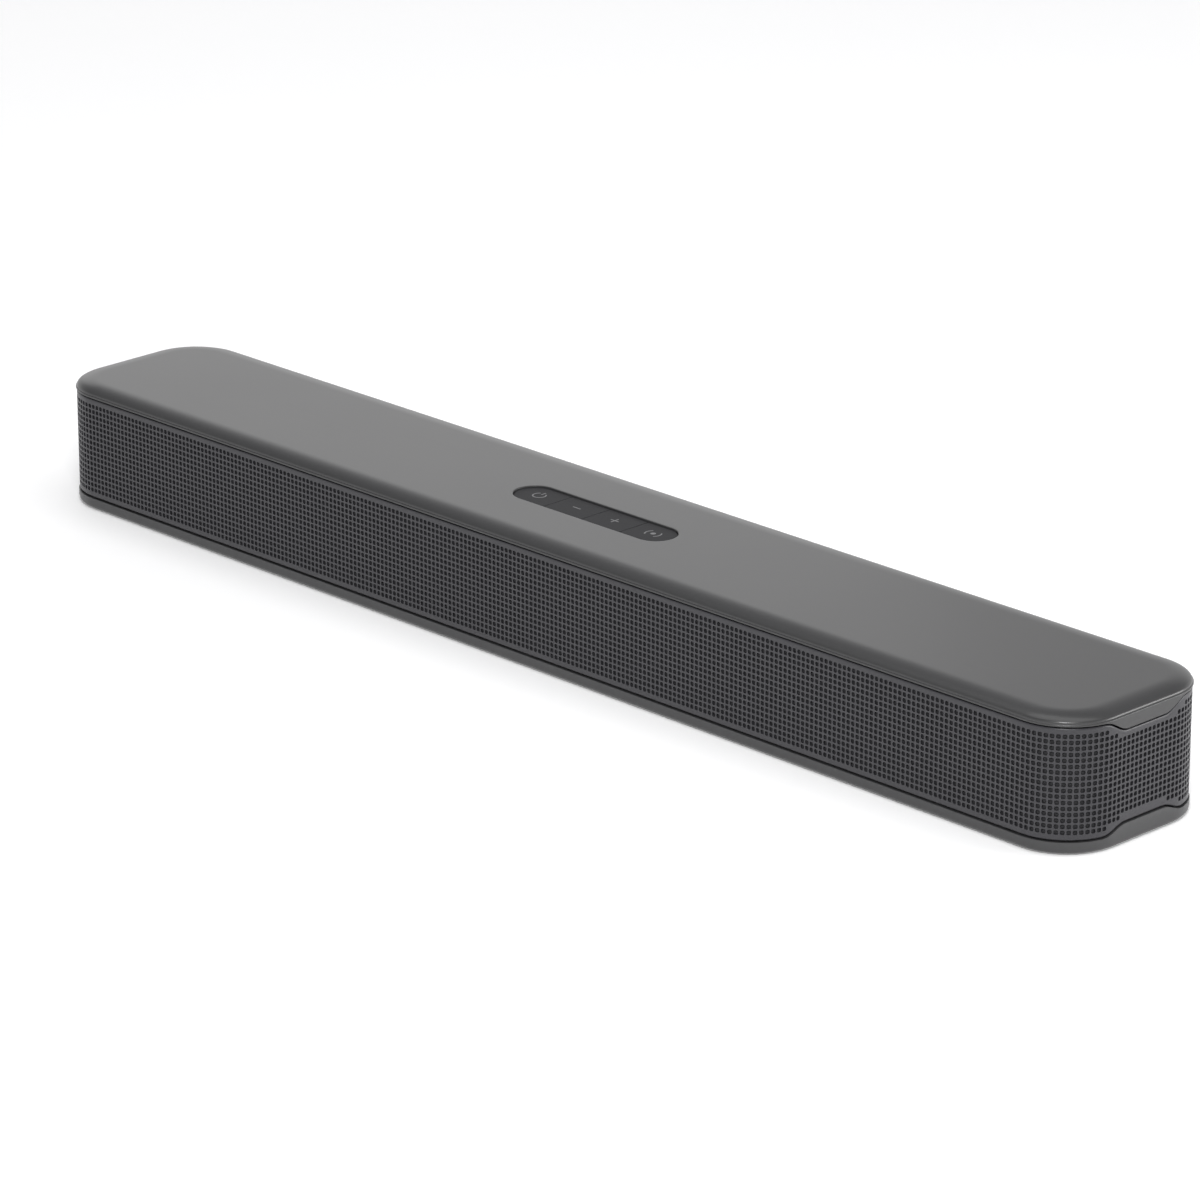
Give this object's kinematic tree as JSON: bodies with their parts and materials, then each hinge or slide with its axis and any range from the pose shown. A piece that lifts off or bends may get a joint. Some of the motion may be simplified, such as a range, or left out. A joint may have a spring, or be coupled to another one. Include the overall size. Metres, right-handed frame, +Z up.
{
  "type": "soundbar",
  "caption": "Compact television soundbar with a rolled top cover, recessed keypad, wrap-round perforated grille, rear connector bay and bass ports.",
  "frame": {"origin": "middle of the footprint, on the table under the feet", "axes": "+X along the length to the right-hand end as the listener sees it, -Y towards the listener, +Z up"},
  "size_m": [0.614, 0.088, 0.058],
  "materials": {
    "charcoal_abs": "satin moulded ABS with a very fine grain",
    "key_rubber": "matt silicone-coated keys with light grey printed symbols",
    "chassis_abs": "satin moulded ABS",
    "rear_abs": "matt black moulded ABS, fine spark texture",
    "grille_steel": "perforated steel sheet, satin black-grey powder coat",
    "scrim_cloth": "black acoustically open cloth",
    "baffle_abs": "matt black moulded ABS",
    "foot_rubber": "matt rubber",
    "screw_steel": "zinc plated",
    "black_screw": "black zinc",
    "insert_brass": "turned",
    "circuit_board": "green solder mask",
    "power_board": "tan paper laminate",
    "switch_black": "moulded",
    "chip_black": "epoxy",
    "heat_sink": "extruded, black edges left bare",
    "ferrite": "sintered ferrite and plated steel",
    "basket_steel": "pressed steel, black coat",
    "gasket_foam": "closed-cell foam",
    "cone_paper": "coated paper",
    "cap_paper": "smooth moulded cap",
    "surround_rubber": "butyl half roll",
    "spider_cloth": "resin-set corrugated cloth",
    "coil_copper": "enamelled copper on a former",
    "port_abs": "satin moulded ABS",
    "capacitor_can": "dark printed sleeve",
    "connector_nylon": "natural nylon",
    "wire_red": "PVC twin lead",
    "ribbon_grey": "flat ribbon cable",
    "transformer_core": "taped ferrite transformer",
    "inlet_black": "moulded nylon",
    "socket_steel": "nickel plated shell",
    "jack_black": "moulded",
    "shutter_grey": "moulded flap",
    "receiver_dark": "infra-red filter resin",
    "led_white": "clear-white resin"
  },
  "bodies": {
    "cabinet": {"top_cover": "charcoal_abs", "keypad_board": "circuit_board", "keypad_switches": "switch_black", "keypad_screws": "screw_steel", "bottom_chassis": "chassis_abs", "rubber_feet": "foot_rubber", "chassis_screws": "screw_steel", "chamber_walls": "baffle_abs", "left_rear_panel": "rear_abs", "right_rear_panel": "rear_abs", "connector_frame": "rear_abs", "socket_plate": "rear_abs", "rear_panel_screws": "black_screw", "wall_inserts": "insert_brass", "front_grille": "grille_steel", "grille_scrim": "scrim_cloth", "front_baffle": "baffle_abs", "driver_screws": "black_screw", "driver_gaskets": "gasket_foam", "left_basket": "basket_steel", "left_magnet": "ferrite", "left_port": "port_abs", "right_basket": "basket_steel", "right_magnet": "ferrite", "right_port": "port_abs", "main_board": "circuit_board", "board_screws": "screw_steel", "processor_chip": "chip_black", "amplifier_heat_sink": "heat_sink", "filter_coils": "chip_black", "board_capacitors": "capacitor_can", "speaker_connectors": "connector_nylon", "speaker_wires": "wire_red", "ribbon_cable": "ribbon_grey", "power_board": "power_board", "transformer": "transformer_core", "bulk_capacitor": "capacitor_can", "ac_inlet": "inlet_black", "hdmi_socket": "socket_steel", "optical_socket": "jack_black", "usb_socket": "socket_steel", "aux_jack": "jack_black", "indicator_board": "circuit_board", "infrared_receiver": "receiver_dark", "status_leds": "led_white"},
    "power_key": {"power_button": "key_rubber"},
    "volume_down_key": {"volume_down_button": "key_rubber"},
    "volume_up_key": {"volume_up_button": "key_rubber"},
    "source_key": {"source_button": "key_rubber"},
    "left_diaphragm": {"left_cone": "cone_paper", "left_dust_cap": "cap_paper", "left_surround": "surround_rubber", "left_spider": "spider_cloth", "left_voice_coil": "coil_copper"},
    "right_diaphragm": {"right_cone": "cone_paper", "right_dust_cap": "cap_paper", "right_surround": "surround_rubber", "right_spider": "spider_cloth", "right_voice_coil": "coil_copper"},
    "shutter_flap": {"optical_shutter": "shutter_grey"}
  },
  "joints": [
    {"name": "power_press", "type": "slide", "parent": "cabinet", "child": "power_key", "axis": [0, 0, -1], "range_m": [0, 0.0004], "stiffness_N_per_m": 2000, "springref_m": -0.0001},
    {"name": "volume_down_press", "type": "slide", "parent": "cabinet", "child": "volume_down_key", "axis": [0, 0, -1], "range_m": [0, 0.0004], "stiffness_N_per_m": 2000, "springref_m": -0.0001},
    {"name": "volume_up_press", "type": "slide", "parent": "cabinet", "child": "volume_up_key", "axis": [0, 0, -1], "range_m": [0, 0.0004], "stiffness_N_per_m": 2000, "springref_m": -0.0001},
    {"name": "source_press", "type": "slide", "parent": "cabinet", "child": "source_key", "axis": [0, 0, -1], "range_m": [0, 0.0004], "stiffness_N_per_m": 2000, "springref_m": -0.0001},
    {"name": "left_cone_travel", "type": "slide", "parent": "cabinet", "child": "left_diaphragm", "axis": [0, -1, 0], "range_m": [-0.002, 0.002], "stiffness_N_per_m": 1500},
    {"name": "right_cone_travel", "type": "slide", "parent": "cabinet", "child": "right_diaphragm", "axis": [0, -1, 0], "range_m": [-0.002, 0.002], "stiffness_N_per_m": 1500},
    {"name": "shutter_hinge", "type": "hinge", "parent": "cabinet", "child": "shutter_flap", "pos_m": [-0.028, 0.025, 0.0247], "axis": [-1, 0, 0], "range_deg": [0, 80], "stiffness_Nm_per_rad": 0.0005}
  ]
}
